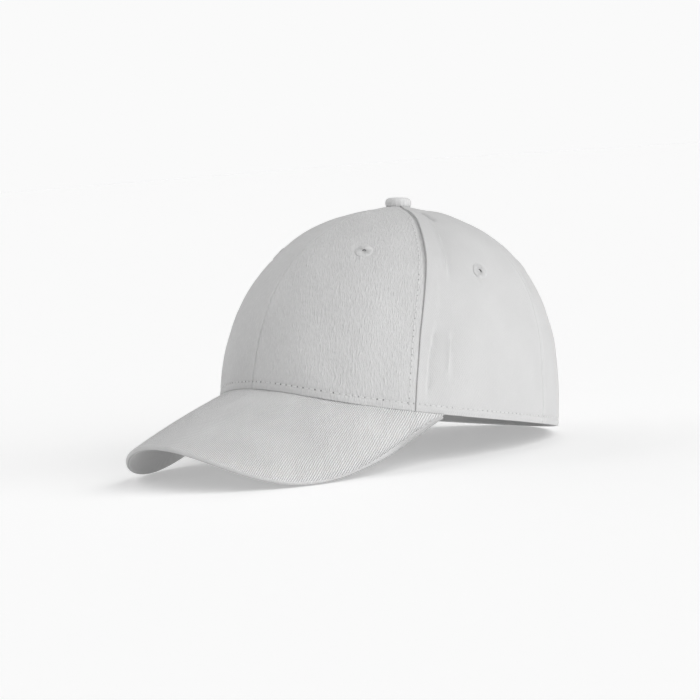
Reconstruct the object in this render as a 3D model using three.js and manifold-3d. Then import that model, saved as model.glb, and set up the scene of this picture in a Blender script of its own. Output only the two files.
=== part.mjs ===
// Ponytail baseball cap: six cloth panels, a curved brim, a top button, six vent eyelets, a sweatband,
// and a bound slit down the back of the crown for a ponytail.
// Millimetres, +Z up. The wearer faces -Y and the wearer's left hand is at +X.
// The cap is drawn with the rim of its crown level, then tipped so that it rests as it would on a table,
// on the two low sides of the brim and on the back of the rim.
import * as THREE from 'three';
import { mergeVertices } from 'three/addons/utils/BufferGeometryUtils.js';
import Module from 'manifold-3d';

// Crown, measured over the cloth
const rimHalfWidth = 81;
const rimFrontLength = 102;
const rimBackLength = 100;
const rimFrontRise = 7.5;
const crownHeight = 113;
const topForward = 5;
const clothThickness = 1.2;
const roundnessFront = 2.2;
const roundnessSide = 2.62;
const roundnessBack = 2.25;
const coneShare = 0.13;

// Seams between the panels, as angles round the crown from the front centre
const sideSeamAngle = 60;
const sideSeamLean = 6;
const backSideSeamAngle = 113;
const seamGap = 0.3;
const topHoleRadius = 4.6;

// Brim
const brimEndAngle = 69;
const brimReach = 63;
const brimDrop = 25;
const brimArch = 32;
const brimCorner = 0.725;
const brimSweep = 2.36;
const brimCrown = 1.5;
const brimThickness = 2.8;
const brimEndThickness = 1.7;

// Ponytail slit, with lengths along the cloth of the back centre line: slitStart up from the rim, and
// topStripLength down from the middle of the button
const slitStart = 18;
const topStripLength = 39;
const slitWidth = 17;
const wideBindingWidth = 6.2;
const narrowBindingWidth = 2.2;
const bindingProud = 0.3;
const topStripWidth = 4.9;
const topStripTaper = 0.33;

// Top button and its rivet
const buttonDiameter = 14;
const buttonHeight = 4.6;
const buttonEdge = 1.6;
const rivetDiameter = 3;
const rivetHeadDiameter = 11;
const rivetHeadThickness = 1;

// Vent eyelets
const eyeletDiameter = 9;
const eyeletHole = 1.8;
const eyeletBarrel = 3.8;
const eyeletBackDiameter = 6.4;
const eyeletThread = 0.6;
const eyeletSides = 12;

// Sweatband
const sweatbandFrontHeight = 28;
const sweatbandBackHeight = 13.5;
const sweatbandThickness = 1.2;
const sweatbandFoot = 0.8;

// Running clearance between neighbouring pieces
const clearance = 0.3;

const twillColour = '#d9dadc';
const brimColour = '#d2d3d6';
const threadColour = '#e3e4e6';
const bandColour = '#dcdcde';

// The slit, row by row from its foot. up is a share of slitLength. left and right are the two edges of the
// opening, counted outwards from the centre line, and shares of slitWidth. band and trim are the widths of
// the wide and the narrow binding, as shares of wideBindingWidth and narrowBindingWidth.
const slitRows = [
  { up: 0.0, left: 0.0, right: 0.0, band: 1.1, trim: 1.0 },
  { up: 0.05, left: 0.13, right: 0.1, band: 1.07, trim: 1.0 },
  { up: 0.15, left: 0.35, right: 0.25, band: 1.0, trim: 1.0 },
  { up: 0.26, left: 0.48, right: 0.35, band: 1.0, trim: 1.0 },
  { up: 0.38, left: 0.54, right: 0.42, band: 1.0, trim: 1.0 },
  { up: 0.53, left: 0.53, right: 0.47, band: 1.0, trim: 1.0 },
  { up: 0.65, left: 0.48, right: 0.44, band: 1.0, trim: 1.0 },
  { up: 0.84, left: 0.31, right: 0.18, band: 0.87, trim: 0.8 },
  { up: 0.93, left: 0.21, right: 0.02, band: 0.83, trim: 0.5 },
  { up: 1.0, left: 0.15, right: -0.14, band: 0.8, trim: 0.3 },
];

// Soft forms of the cloth. top and bottom are places down the crown, 0 at the button and 1 at the rim.
// angle is where the middle of the form is at its top, in degrees round the crown, lean is how much further
// round it is at its foot, and reach is half its width. proud is a share of clothThickness.
const foldRows = [
  { panel: 'side_panel_left', top: 0.12, bottom: 0.86, angle: 71, lean: -5, reach: 7, proud: 0.7 },
  { panel: 'side_panel_left', top: 0.74, bottom: 0.97, angle: 71, lean: -1, reach: 3, proud: 0.6 },
  { panel: 'side_panel_left', top: 0.72, bottom: 0.96, angle: 79, lean: -2, reach: 3.5, proud: 0.5 },
  { panel: 'side_panel_right', top: 0.12, bottom: 0.86, angle: -71, lean: 5, reach: 7, proud: 0.7 },
];

// One eyelet a panel. angle is round the crown, down is 0 at the button and 1 at the rim.
const eyeletRows = [
  { place: 'front', angle: 35.6, down: 0.467 },
  { place: 'side', angle: 86.4, down: 0.548 },
  { place: 'back', angle: 136.5, down: 0.48 },
];

const { PI, sin, cos, asin, acos, atan, tan, exp, min, max, round } = Math;
const { clamp, degToRad, lerp, smoothstep } = THREE.MathUtils;

// The rim of the crown, at an angle counted from the front centre towards the wearer's left.
function rimPoint(phi) {
  const c = cos(phi);
  const length = c > 0 ? rimFrontLength : rimBackLength;
  const rise = c > 0 ? rimFrontRise * (0.4 * c ** 2 + 0.6 * c ** 6) : 0;
  return new THREE.Vector3(rimHalfWidth * sin(phi), -length * c, rise);
}

// How square the crown's profile is on the way round: 2 is an ellipse.
function roundness(phi) {
  const c = cos(phi);
  const end = c > 0 ? roundnessFront : roundnessBack;
  return lerp(roundnessSide, end, c * c);
}

// The share of the rim's reach that the crown has at a place down it.
function reachShare(phi, down) {
  return sin((down * PI) / 2) ** (2 / roundness(phi));
}

// The place down the crown that lies at a height over the rim.
function downAtHeight(phi, height) {
  return acos((height / crownHeight) ** (roundness(phi) / 2)) / (PI / 2);
}

// A point on the outside of the crown.
function crownPoint(phi, down) {
  const rim = rimPoint(phi);
  const reach = reachShare(phi, down);
  const level = max(0, cos((down * PI) / 2)) ** (2 / roundness(phi));
  const cone = (coneShare * (1 + cos(phi))) / 2;
  return new THREE.Vector3(
    rim.x * reach,
    rim.y * reach - topForward * (1 - reach),
    rim.z * reach * reach + crownHeight * ((1 - cone) * level + cone * (1 - reach)),
  );
}

function crownNormal(phi, down) {
  const step = 0.002;
  const lower = min(down + step, 1);
  const along = crownPoint(phi + step, down).sub(crownPoint(phi - step, down));
  const rise = crownPoint(phi, lower - 2 * step).sub(crownPoint(phi, lower));
  return along.cross(rise).normalize();
}

// How far the cloth of a panel stands proud of the plain crown. Each form fades out at its two ends.
function foldHeight(panel, phi, down) {
  let height = 0;
  for (const fold of foldRows) {
    if (fold.panel !== panel) continue;
    const along = (down - fold.top) / (fold.bottom - fold.top);
    const off = (phi - degToRad(fold.angle + fold.lean * along)) / degToRad(fold.reach);
    const ends = smoothstep(along, -0.1, 0.25) * (1 - smoothstep(along, 0.7, 1.1));
    height += fold.proud * clothThickness * ends * exp(-(off ** 4));
  }
  return height;
}

// A point in the crown's cloth: depth 0 is its outer face, and more is further in.
function clothPoint(phi, down, depth) {
  return crownPoint(phi, down).addScaledVector(crownNormal(phi, down), -depth);
}

// A closed sheet: a box bent by place, which takes its three sides as shares from 0 to 1.
// The third one runs outwards, and the three are right-handed.
function sheet(acrossCount, alongCount, place) {
  const solid = closed(new THREE.BoxGeometry(1, 1, 1, acrossCount, alongCount, 1));
  const corners = solid.attributes.position;
  for (let i = 0; i < corners.count; i += 1) {
    const across = corners.getX(i) + 0.5;
    const along = corners.getY(i) + 0.5;
    const out = corners.getZ(i) + 0.5;
    corners.setXYZ(i, ...place(across, along, out));
  }
  return solid;
}

// A geometry with its corners joined, so that it is one closed surface.
function closed(geometry) {
  geometry.deleteAttribute('normal');
  geometry.deleteAttribute('uv');
  const solid = mergeVertices(geometry);
  solid.clearGroups();
  return solid;
}

// A solid turned round +Z from a profile of radii and heights.
function turned(profile, sides) {
  const points = profile.map(([radius, height]) => new THREE.Vector2(radius, height));
  return closed(new THREE.LatheGeometry(points, sides)).rotateX(PI / 2);
}

const manifold = await Module();
manifold.setup();

function toSolid(geometry) {
  const vertProperties = new Float32Array(geometry.attributes.position.array);
  const triVerts = new Uint32Array(geometry.index.array);
  return new manifold.Manifold(new manifold.Mesh({ numProp: 3, vertProperties, triVerts }));
}

function toGeometry(solid) {
  const mesh = solid.getMesh();
  const geometry = new THREE.BufferGeometry();
  geometry.setAttribute('position', new THREE.BufferAttribute(mesh.vertProperties, 3));
  geometry.setIndex(new THREE.BufferAttribute(mesh.triVerts, 1));
  return geometry;
}

function cut(geometry, tool) {
  return toGeometry(toSolid(geometry).subtract(toSolid(tool)));
}

// The seams, each as an angle at a place down the crown
const frontSeam = () => 0;
const backSideSeam = () => degToRad(backSideSeamAngle);

function sideSeam(down) {
  const angle = degToRad(sideSeamAngle);
  return angle + degToRad(sideSeamLean) * (1 - reachShare(angle, down) ** 2);
}

// The angle that a distance along the rim's direction takes up at a place down the crown.
function angleOf(distance, phi, down) {
  return distance / (rimHalfWidth * reachShare(phi, down));
}

// The angle of a point on the crown's back that lies at x beside the centre line.
function backAngle(x, down) {
  return PI - asin(x / (rimHalfWidth * reachShare(PI, down)));
}

// The back centre line from the rim up to the button, so that lengths can be laid off along the cloth.
class BackLine extends THREE.Curve {
  getPoint(share) {
    return crownPoint(PI, 1 - share);
  }
}
const backLine = new BackLine();
backLine.arcLengthDivisions = 2000;
const backLength = backLine.getLength();
const slitLength = backLength - slitStart - topStripLength;

// The panels end round a hole in the top of the crown, which the button covers.
const topDown = asin((topHoleRadius / rimBackLength) ** (roundnessBack / 2)) / (PI / 2);

// One column of the slit's table at a share of its length, on a smooth line through the rows.
function slitValue(column, up) {
  const last = slitRows.length - 1;
  const upper = slitRows.findIndex((row) => row.up >= up);
  const i = upper < 0 ? last : max(upper, 1);
  const before = slitRows[max(i - 2, 0)];
  const low = slitRows[i - 1];
  const high = slitRows[i];
  const after = slitRows[min(i + 1, last)];
  const span = high.up - low.up;
  const t = (up - low.up) / span;
  const slopeLow = ((high[column] - before[column]) / (high.up - before.up)) * span;
  const slopeHigh = ((after[column] - low[column]) / (after.up - low.up)) * span;
  const t2 = t * t;
  const t3 = t2 * t;
  return (2 * t3 - 3 * t2 + 1) * low[column] + (t3 - 2 * t2 + t) * slopeLow
    + (3 * t2 - 2 * t3) * high[column] + (t3 - t2) * slopeHigh;
}

// The lines of the slit at a share of its length, each as x beside the centre line. Above the slit only the
// wide binding runs on, as a flat strip in the middle, and it narrows under the button.
function slitLines(up, down) {
  if (up > 1) {
    const half = min(topStripWidth / 2, topStripTaper * rimHalfWidth * reachShare(PI, down));
    return { left: half, right: -half, trimSeam: half, bandSeam: half };
  }
  const left = slitWidth * slitValue('left', up);
  const right = slitWidth * slitValue('right', up);
  return {
    left,
    right,
    trimSeam: left + narrowBindingWidth * slitValue('trim', up),
    bandSeam: right + wideBindingWidth * slitValue('band', up),
  };
}

// A row across the back at a length up the centre line: its place down the crown and its share of the slit.
function backRow(length) {
  const down = max(1 - backLine.getUtoTmapping(0, length), topDown);
  return { down, up: (length - slitStart) / slitLength };
}

// The rows of the back panels and of the bindings: below the slit, beside it, and above it
const slitSteps = 20;
const stripSteps = 4;
const footShares = [0, 0.5, 1];
const footRows = footShares.map((share) => backRow((slitStart - 2 * clearance) * share));
const slitSideRows = Array.from({ length: slitSteps + 1 }, (_, i) => (
  backRow(slitStart + (slitLength * i) / slitSteps)
));
const topStripRows = Array.from({ length: stripSteps }, (_, i) => (
  backRow(lerp(backLength - topStripLength, backLength - topHoleRadius, (i + 1) / stripSteps))
));
const backRows = [...footRows, ...slitSideRows, ...topStripRows];

// The edge of a back panel at the slit, as x beside the centre line.
function panelEdge(row, seam) {
  if (row.up < 0) return seamGap / 2;
  return slitLines(row.up, row.down)[seam] + clearance;
}

const materials = {
  twill: new THREE.MeshStandardMaterial({ color: twillColour, roughness: 0.9, metalness: 0 }),
  brim: new THREE.MeshStandardMaterial({ color: brimColour, roughness: 0.9, metalness: 0 }),
  thread: new THREE.MeshStandardMaterial({ color: threadColour, roughness: 0.7, metalness: 0 }),
  band: new THREE.MeshStandardMaterial({ color: bandColour, roughness: 0.85, metalness: 0 }),
};

const cap = new THREE.Group();

function addPiece(name, geometry, material) {
  const mesh = new THREE.Mesh(geometry, material.clone());
  mesh.name = name;
  cap.add(mesh);
  return mesh;
}

// The eyelet of a panel lies on its cloth, square to it. This gives its place and its turn.
function eyeletPlace(row, side, panel) {
  const phi = side * degToRad(row.angle);
  const normal = crownNormal(phi, row.down);
  const point = crownPoint(phi, row.down).addScaledVector(normal, foldHeight(panel, phi, row.down));
  const turn = new THREE.Quaternion().setFromUnitVectors(new THREE.Vector3(0, 0, 1), normal);
  return { point, turn };
}

// A panel between two seams, with the hole for its eyelet cut through. edges gives the two angles of a row,
// the lower one first.
function panelGeometry(name, edges, rows, acrossCount, eyelet) {
  const cloth = sheet(acrossCount, rows.length - 1, (across, along, out) => {
    const row = rows[round(along * (rows.length - 1))];
    const [from, to] = edges(row);
    const phi = lerp(from, to, across);
    const depth = clothThickness * (1 - out) - foldHeight(name, phi, row.down);
    return clothPoint(phi, row.down, depth);
  });
  const holeRadius = eyeletBarrel / 2 + clearance;
  const drillLength = 6 * clothThickness;
  const drill = closed(new THREE.CylinderGeometry(holeRadius, holeRadius, drillLength, eyeletSides));
  drill.rotateX(PI / 2);
  drill.applyQuaternion(eyelet.turn);
  drill.translate(...eyelet.point);
  return cut(cloth, drill);
}

const plainRowCount = 16;
const foldedRowCount = 20;

function plainRows(count) {
  return Array.from({ length: count + 1 }, (_, i) => ({ down: lerp(1, topDown, i / count) }));
}

// Panels of one side: side is 1 for the wearer's left and -1 for the right.
for (const [side, hand] of [[1, 'left'], [-1, 'right']]) {
  const seamHalf = (phi, down) => angleOf(seamGap / 2, phi, down);
  const span = (low, high) => (side > 0 ? [low, high] : [-high, -low]);
  const between = (lowSeam, highSeam) => (row) => {
    const low = lowSeam(row.down);
    const high = highSeam(row.down);
    return span(low + seamHalf(low, row.down), high - seamHalf(high, row.down));
  };
  const slitSeam = side > 0 ? 'trimSeam' : 'bandSeam';
  const backEdges = (row) => {
    const low = backSideSeam();
    return span(low + seamHalf(low, row.down), backAngle(panelEdge(row, slitSeam), row.down));
  };
  const panels = {
    front: { edges: between(frontSeam, sideSeam), rows: plainRows(plainRowCount), across: 8 },
    side: { edges: between(sideSeam, backSideSeam), rows: plainRows(foldedRowCount), across: 14 },
    back: { edges: backEdges, rows: backRows, across: 8 },
  };
  for (const row of eyeletRows) {
    const name = `${row.place}_panel_${hand}`;
    const { edges, rows, across } = panels[row.place];
    const seat = eyeletPlace(row, side, name);
    addPiece(name, panelGeometry(name, edges, rows, across, seat), materials.twill);
    addPiece(`eyelet_${row.place}_${hand}`, eyeletGeometry(), materials.thread)
      .applyQuaternion(seat.turn)
      .position.copy(seat.point);
  }
}

// An embroidered eyelet: a ring of thread on each face of the cloth, joined through the hole.
function eyeletGeometry() {
  const face = clearance;
  const back = -clothThickness - clearance;
  const outer = eyeletDiameter / 2;
  const hole = eyeletHole / 2;
  const barrel = eyeletBarrel / 2;
  const inner = eyeletBackDiameter / 2;
  return turned([
    [hole, back - eyeletThread],
    [inner, back - eyeletThread],
    [inner, back],
    [barrel, back],
    [barrel, face],
    [outer, face],
    [outer - eyeletThread / 2, face + eyeletThread * 0.7],
    [outer - eyeletThread * 2, face + eyeletThread],
    [hole + eyeletThread / 2, face + eyeletThread],
    [hole, face + eyeletThread / 2],
    [hole, back - eyeletThread],
  ], eyeletSides);
}

// A binding lies between an edge of the opening and the edge of its panel, a little proud of both faces.
function bindingGeometry(rows, edges, acrossCount) {
  return sheet(acrossCount, rows.length - 1, (across, along, out) => {
    const row = rows[round(along * (rows.length - 1))];
    const [from, to] = edges(slitLines(row.up, row.down));
    const x = lerp(from, to, across);
    const depth = lerp(clothThickness + bindingProud, -bindingProud, out);
    return clothPoint(backAngle(x, row.down), row.down, depth);
  });
}

const meetingHalf = clearance / 2;
addPiece(
  'slit_binding_left',
  bindingGeometry(slitSideRows, (lines) => [lines.trimSeam, lines.left + meetingHalf], 1),
  materials.twill,
);
addPiece(
  'slit_binding_right',
  bindingGeometry(
    [...slitSideRows, ...topStripRows],
    (lines) => [-lines.right - meetingHalf, -lines.bandSeam],
    2,
  ),
  materials.twill,
);

// The brim's outer edge, for an angle from -90 to 90 degrees across it.
function brimOuter(psi) {
  const end = rimPoint(degToRad(brimEndAngle));
  const c = max(0, cos(psi));
  const s = sin(psi);
  const sweep = (1 - c) ** brimSweep;
  const y = end.y - (rimFrontLength + end.y + brimReach) * c ** brimCorner;
  const z = -brimDrop - brimArch * s * s + (end.z + brimDrop + brimArch) * sweep;
  return new THREE.Vector3(end.x * s, y, z);
}

// A point on the top of the brim: share 0 is the seam under the crown and 1 is the outer edge.
function brimPoint(psi, share) {
  const inner = rimPoint(sin(psi) * degToRad(brimEndAngle));
  const point = inner.lerp(brimOuter(psi), share);
  point.z += brimCrown * 4 * share * (1 - share) * cos(psi) ** 2;
  return point;
}

// The brim's normal, taken a little way in from its pointed ends and its edges, where it is well defined.
function brimNormal(psi, share) {
  const step = 0.01;
  const inset = 0.06;
  const at = clamp(psi, 2 * inset - PI / 2, PI / 2 - 2 * inset);
  const low = clamp(share, inset, 1 - step);
  const acrossStep = brimPoint(at + step, low).sub(brimPoint(at - step, low));
  const outStep = brimPoint(at, low + step).sub(brimPoint(at, low - step));
  return outStep.cross(acrossStep).normalize();
}

// The brim from its outer edge to the crown, as shares of its depth. The last row is the seam allowance,
// which is tucked under the crown's cloth. The brim grows thinner towards its two ends.
const brimRows = [1, 0.87, 0.7, 0.5, 0.3, 0.12, 0, 0];
const brimAcrossCount = 44;
const brimEndPsi = degToRad(89.6);
const brimThinnedShare = 0.35;
const lastBrimRow = brimRows.length - 1;
addPiece('brim', sheet(brimAcrossCount, lastBrimRow, (across, along, out) => {
  const psi = lerp(-brimEndPsi, brimEndPsi, across);
  const row = round(along * lastBrimRow);
  const point = brimPoint(psi, brimRows[row]);
  if (row === lastBrimRow) {
    const outwards = crownNormal(sin(psi) * degToRad(brimEndAngle), 1).setZ(0).normalize();
    point.addScaledVector(outwards, -clothThickness);
  }
  point.z -= clearance;
  const fullness = smoothstep(cos(psi), 0, brimThinnedShare);
  const thickness = lerp(brimEndThickness, brimThickness, fullness);
  return point.addScaledVector(brimNormal(psi, brimRows[row]), -thickness * (1 - out));
}), materials.brim);

// The button sits on the top of the crown, and its rivet passes between the tips of the panels.
// The crown falls away from its top like a low cone that leans forward, so the button leans by half as much
// and both of its faces are hollowed to fit.
const topTilt = atan((coneShare * crownHeight) / (rimFrontLength - topForward)) / 2;
const coneFall = (radius) => radius * tan(topTilt);
const rivet = rivetDiameter / 2;
const rivetHead = rivetHeadDiameter / 2;
const rivetTop = -clothThickness - bindingProud - clearance;
const rivetRim = rivetTop - coneFall(rivetHead);
const buttonRadius = buttonDiameter / 2;
const buttonUnder = bindingProud + clearance;
const buttonTop = buttonUnder + buttonHeight;
const edgeSteps = 4;
const roundedEdge = Array.from({ length: edgeSteps + 1 }, (_, i) => {
  const turn = (PI / 2) * (i / edgeSteps);
  return [buttonRadius - buttonEdge * (1 - cos(turn)), buttonTop - buttonEdge * (1 - sin(turn))];
});
addPiece('top_button', turned([
  [0, rivetRim - rivetHeadThickness],
  [rivetHead, rivetRim - rivetHeadThickness],
  [rivetHead, rivetRim],
  [rivet, rivetTop],
  [rivet, buttonUnder],
  [buttonRadius - buttonEdge / 2, buttonUnder - coneFall(buttonRadius)],
  ...roundedEdge,
  [0, buttonTop],
], 20), materials.twill).rotateX(topTilt).position.set(0, -topForward, crownHeight);

// The sweatband follows the inside of the rim, and is lower behind, under the slit.
const bandGapAngle = angleOf(seamGap, PI, 1);
addPiece('sweatband', sheet(48, 3, (across, along, out) => {
  const phi = lerp(bandGapAngle - PI, PI - bandGapAngle, across);
  const rise = smoothstep(cos(phi), -1, -0.6);
  const height = lerp(sweatbandBackHeight, sweatbandFrontHeight, rise);
  const down = downAtHeight(phi, lerp(sweatbandFoot, height, along));
  return clothPoint(phi, down, clothThickness + clearance + sweatbandThickness * (1 - out));
}), materials.band);

// The lowest point of the cap, in front of or behind the button, when its front is tipped up by an angle.
function lowestPoint(angle, isFront) {
  let lowest = Infinity;
  const corner = new THREE.Vector3();
  for (const mesh of cap.children) {
    const corners = mesh.geometry.attributes.position;
    for (let i = 0; i < corners.count; i += 1) {
      corner.fromBufferAttribute(corners, i).applyMatrix4(mesh.matrixWorld);
      if ((corner.y < 0) === isFront) {
        lowest = min(lowest, corner.z * cos(angle) - corner.y * sin(angle));
      }
    }
  }
  return lowest;
}

// The cap rests where its brim and the back of its rim are level.
function restAngle() {
  let low = 0;
  let high = degToRad(40);
  for (let i = 0; i < 40; i += 1) {
    const middle = (low + high) / 2;
    if (lowestPoint(middle, true) < lowestPoint(middle, false)) low = middle;
    else high = middle;
  }
  return (low + high) / 2;
}

cap.updateMatrixWorld(true);
cap.rotation.x = -restAngle();
cap.updateMatrixWorld(true);

// The origin is the middle of the cap's footprint, on the surface that it rests on.
const bounds = new THREE.Box3().setFromObject(cap, true);
const middle = bounds.getCenter(new THREE.Vector3());
cap.position.set(-middle.x, -middle.y, -bounds.min.z);

export default cap;
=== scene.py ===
from math import cos, pi, radians, sin

import bpy
import numpy as np
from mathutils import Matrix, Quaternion, Vector


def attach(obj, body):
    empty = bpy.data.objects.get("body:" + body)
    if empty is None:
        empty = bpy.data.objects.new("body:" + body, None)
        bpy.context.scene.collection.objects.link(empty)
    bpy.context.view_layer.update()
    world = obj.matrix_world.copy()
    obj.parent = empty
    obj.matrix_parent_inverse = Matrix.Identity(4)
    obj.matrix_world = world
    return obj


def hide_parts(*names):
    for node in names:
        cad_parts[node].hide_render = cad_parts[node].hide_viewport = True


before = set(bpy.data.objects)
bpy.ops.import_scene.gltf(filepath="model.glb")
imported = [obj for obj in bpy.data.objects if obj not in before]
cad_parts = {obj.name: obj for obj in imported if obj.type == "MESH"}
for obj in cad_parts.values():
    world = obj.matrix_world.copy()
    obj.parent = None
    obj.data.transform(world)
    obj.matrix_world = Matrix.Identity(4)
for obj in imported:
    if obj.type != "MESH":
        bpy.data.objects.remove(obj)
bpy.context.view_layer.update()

# Studio: a pale floor, lit a little from below, that runs into a white background, one strong soft lamp on
# the right, weak ones low on the left and high in front, and a long lens near the floor at the left front.
MM = 0.001
SENSOR = 36.0
IMAGE_WIDTH = 700
FOCAL_PIXELS = 2574.25
CAMERA_PLACE = (1.00021, -0.9346, 0.16818)
CAMERA_ROUND, CAMERA_RISE, CAMERA_ROLL = radians(46.7951), radians(4.6369), radians(-4.0784)
FLOOR_WIDTH = 24.0
LAMPS = [
    {"name": "key_lamp", "round": 100, "rise": 32, "power": 2.2, "spread": 70},
    {"name": "left_lamp", "round": -85, "rise": 20, "power": 1.0, "spread": 70},
    {"name": "top_lamp", "round": -40, "rise": 50, "power": 0.45, "spread": 60},
]
ROOM_LIGHT = 0.22
BACKDROP_LIGHT = 0.956
FLOOR_SHADE = 0.9
FLOOR_GLOW = 0.26

scene = bpy.context.scene
scene.view_settings.view_transform = "Standard"


def direction(turn, rise):
    """From the cap towards a place in the studio: turn is round from the front to the wearer's left."""
    return Vector((sin(turn) * cos(rise), -cos(turn) * cos(rise), sin(rise)))


camera = bpy.data.objects.new("camera", bpy.data.cameras.new("camera"))
camera.data.sensor_width = SENSOR
camera.data.lens = SENSOR * FOCAL_PIXELS / IMAGE_WIDTH
camera.location = CAMERA_PLACE
camera.rotation_mode = "QUATERNION"
level = (-direction(CAMERA_ROUND, CAMERA_RISE)).to_track_quat("-Z", "Y")
camera.rotation_quaternion = level @ Quaternion((0, 0, 1), CAMERA_ROLL)
scene.collection.objects.link(camera)
scene.camera = camera

for row in LAMPS:
    lamp = bpy.data.objects.new(row["name"], bpy.data.lights.new(row["name"], "SUN"))
    lamp.data.energy = row["power"]
    lamp.data.angle = radians(row["spread"])
    lamp.rotation_mode = "QUATERNION"
    towards = direction(radians(row["round"]), radians(row["rise"]))
    lamp.rotation_quaternion = (-towards).to_track_quat("-Z", "Y")
    scene.collection.objects.link(lamp)

bpy.ops.object.select_all(action="DESELECT")
bpy.ops.mesh.primitive_plane_add(size=FLOOR_WIDTH)
floor = bpy.context.active_object
floor.name = "floor"
paper = bpy.data.materials.new("floor_paper")
paper.use_nodes = True
paper_shader = paper.node_tree.nodes["Principled BSDF"]
paper_shader.inputs["Base Color"].default_value = (FLOOR_SHADE, FLOOR_SHADE, FLOOR_SHADE, 1)
paper_shader.inputs["Emission Color"].default_value = (1, 1, 1, 1)
paper_shader.inputs["Emission Strength"].default_value = FLOOR_GLOW
paper_shader.inputs["Roughness"].default_value = 1.0
paper_shader.inputs["Specular IOR Level"].default_value = 0.0
floor.data.materials.append(paper)

# The room lights the cap from all round, less than the white background that the camera sees.
room = bpy.data.worlds.new("studio_room")
scene.world = room
room.use_nodes = True
room_nodes, room_links = room.node_tree.nodes, room.node_tree.links
backdrop = room_nodes["Background"]
backdrop.inputs["Color"].default_value = (1, 1, 1, 1)
backdrop.inputs["Strength"].default_value = BACKDROP_LIGHT
ambient = room_nodes.new("ShaderNodeBackground")
ambient.inputs["Strength"].default_value = ROOM_LIGHT
seen = room_nodes.new("ShaderNodeLightPath")
either = room_nodes.new("ShaderNodeMixShader")
room_links.new(seen.outputs["Is Camera Ray"], either.inputs[0])
room_links.new(ambient.outputs[0], either.inputs[1])
room_links.new(backdrop.outputs[0], either.inputs[2])
room_links.new(either.outputs[0], room_nodes["World Output"].inputs["Surface"])


# Front and side panels: four pieces of white cotton twill, cut with the grain upright. The side panel is
# sewn over the edge of the front one, so its edge stands proud beside a groove, and a row of stitches runs
# down the front panel next to it. Form and sizes are those of the level cap, in millimetres.
REST_TIP, REST_FORWARD, REST_LIFT = 0.1835548, 32.59219, 18.25255
RIM_HALF_WIDTH, RIM_FRONT_LENGTH, RIM_BACK_LENGTH, RIM_FRONT_RISE = 81, 102, 100, 7.5
CROWN_HEIGHT, CROWN_LINE, TOP_FORWARD, CONE = 113, 175, 5, 0.13
ROUND_FRONT, ROUND_SIDE, ROUND_BACK = 2.2, 2.62, 2.25
CLOTH, SLACK_DEPTH = 1.2, 0.3
SIDE_SEAM, SIDE_SEAM_LEAN, BACK_SIDE_SEAM = radians(59.5), radians(6), radians(113)
SIDE_SEAM_BOW, SIDE_SEAM_TURN = radians(1.2), radians(-3)
FRONT_GRAIN, SIDE_GRAIN = radians(44), radians(88)
TOP_HOLE, BUTTON_LIFT = 4.6, 0.9
STITCH_PITCH, RIM_ROW, SEAM_ROW = 3.2, 3.9, 4.0
EYELET_CUT = 2.1


def at_rest(points):
    """Points of the level cap, in millimetres, where they are on the resting cap, in metres."""
    x, y, z = np.moveaxis(np.asarray(points, float), -1, 0)
    lean, lift = cos(REST_TIP), sin(REST_TIP)
    turned = [x, y * lean + z * lift + REST_FORWARD, z * lean - y * lift + REST_LIFT]
    return np.stack(turned, -1) * MM


def rim_point(phi):
    """The crown's rim, at an angle from the front centre towards the wearer's left."""
    c = np.cos(phi)
    length = np.where(c > 0, RIM_FRONT_LENGTH, RIM_BACK_LENGTH)
    rise = np.where(c > 0, RIM_FRONT_RISE * (0.4 * c**2 + 0.6 * c**6), 0)
    return np.stack([RIM_HALF_WIDTH * np.sin(phi), -length * c, rise], -1)


def roundness(phi):
    c = np.cos(phi)
    return ROUND_SIDE + (np.where(c > 0, ROUND_FRONT, ROUND_BACK) - ROUND_SIDE) * c * c


def reach_share(phi, down):
    return np.sin(down * pi / 2) ** (2 / roundness(phi))


def crown_point(phi, down):
    """The outside of the crown: down is 0 under the button and 1 at the rim."""
    phi, down = np.broadcast_arrays(phi, down)
    rim = rim_point(phi)
    reach = reach_share(phi, down)
    upright = np.maximum(np.cos(down * pi / 2), 0) ** (2 / roundness(phi))
    cone = CONE * (1 + np.cos(phi)) / 2
    height = rim[..., 2] * reach**2 + CROWN_HEIGHT * ((1 - cone) * upright + cone * (1 - reach))
    return np.stack([rim[..., 0] * reach, rim[..., 1] * reach - TOP_FORWARD * (1 - reach), height], -1)


def unit(vectors):
    return vectors / np.maximum(np.linalg.norm(vectors, axis=-1, keepdims=True), 1e-12)


def crown_normal(phi, down):
    step = 0.002
    lower = np.minimum(down + step, 1)
    along = crown_point(phi + step, down) - crown_point(phi - step, down)
    rise = crown_point(phi, lower - 2 * step) - crown_point(phi, lower)
    return unit(np.cross(along, rise))


def front_seam(down):
    return 0 * down


def side_seam(down):
    """The seam leans back up the crown, bows back halfway and turns forward under the button."""
    lean = SIDE_SEAM_LEAN * (1 - reach_share(SIDE_SEAM, down) ** 2)
    return SIDE_SEAM + lean + SIDE_SEAM_BOW * bump(down, 0.5, 0.2) + SIDE_SEAM_TURN * bump(down, 0, 0.13)


def back_side_seam(down):
    return BACK_SIDE_SEAM + 0 * down


def smooth(value, low, high):
    share = np.clip((value - low) / (high - low), 0, 1)
    return share * share * (3 - 2 * share)


def bump(value, middle, width):
    return np.exp(-(((value - middle) / width) ** 2))


def running_length(points):
    """Distance along lines of points, from their starts, on the axis before the last."""
    steps = np.linalg.norm(np.diff(points, axis=-2), axis=-1)
    return np.concatenate([np.zeros_like(steps[..., :1]), np.cumsum(steps, -1)], -1)


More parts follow.
